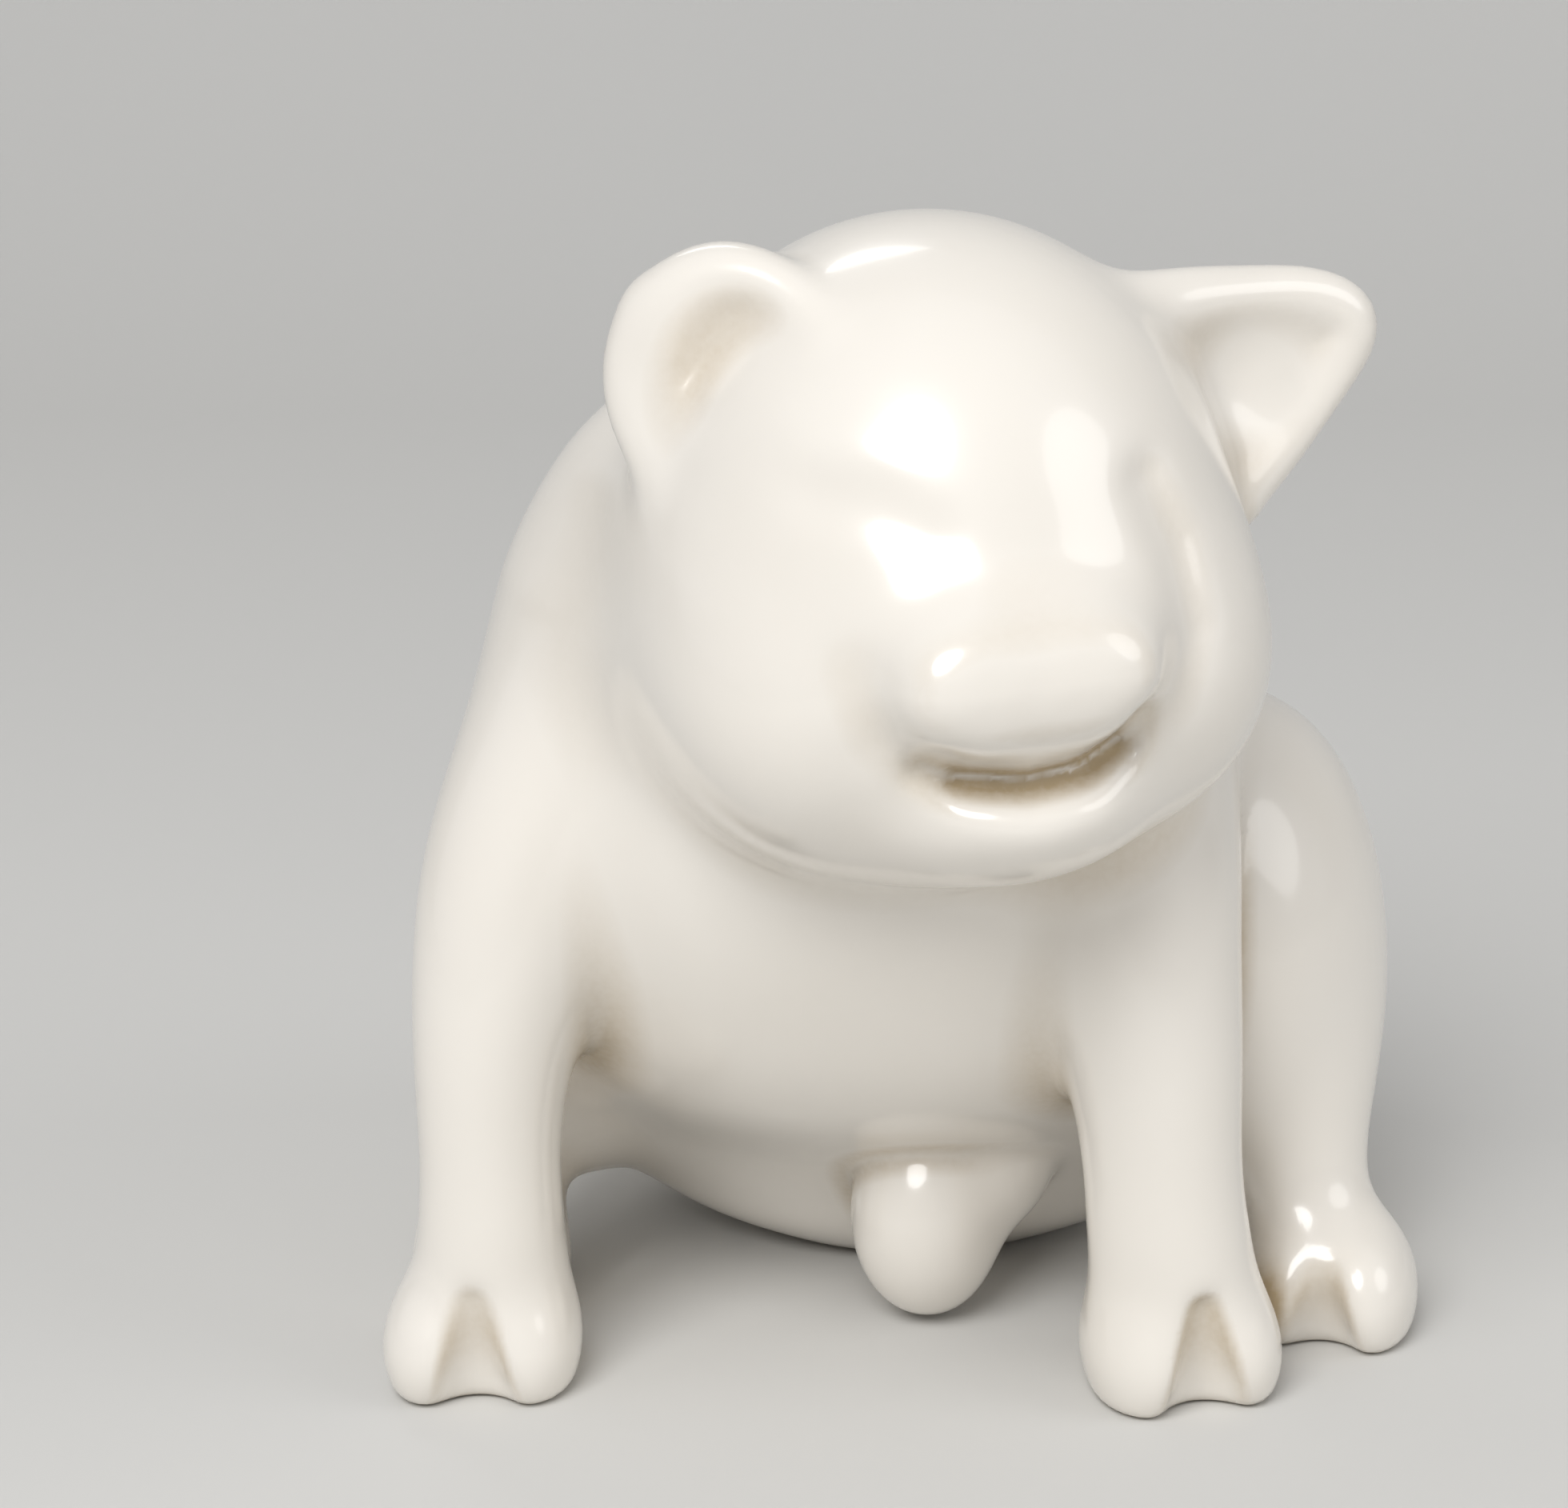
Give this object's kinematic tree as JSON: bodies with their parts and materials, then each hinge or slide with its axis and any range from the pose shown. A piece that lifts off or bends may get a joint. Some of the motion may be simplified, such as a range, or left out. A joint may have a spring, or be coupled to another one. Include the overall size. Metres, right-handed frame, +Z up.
{
  "type": "piggy bank",
  "caption": "Glazed porcelain piggy bank: a hollow sitting pig with a coin slot in its back and a rubber stopper under its rump.",
  "frame": {"origin": "on the floor under the middle of the pig's bounding box", "axes": "+Z up, -Y the way the pig looks, +X the pig's left side"},
  "size_m": [0.1082, 0.1262, 0.1205],
  "materials": {
    "glazed_porcelain": "warm white glossy glaze with a pearly lustre",
    "rubber": "matt moulded rubber"
  },
  "bodies": {
    "porcelain": {"torso": "glazed_porcelain", "head": "glazed_porcelain", "ear_right": "glazed_porcelain", "ear_left": "glazed_porcelain", "front_leg_right": "glazed_porcelain", "front_leg_left": "glazed_porcelain", "hind_leg_right": "glazed_porcelain", "hind_leg_left": "glazed_porcelain", "tail": "glazed_porcelain", "belly_lobe": "glazed_porcelain"},
    "stopper": {"stopper": "rubber"}
  },
  "joints": [
    {"name": "stopper_pull", "type": "slide", "parent": "porcelain", "child": "stopper", "axis": [0, 0, -1], "range_m": [0, 0.03]}
  ]
}
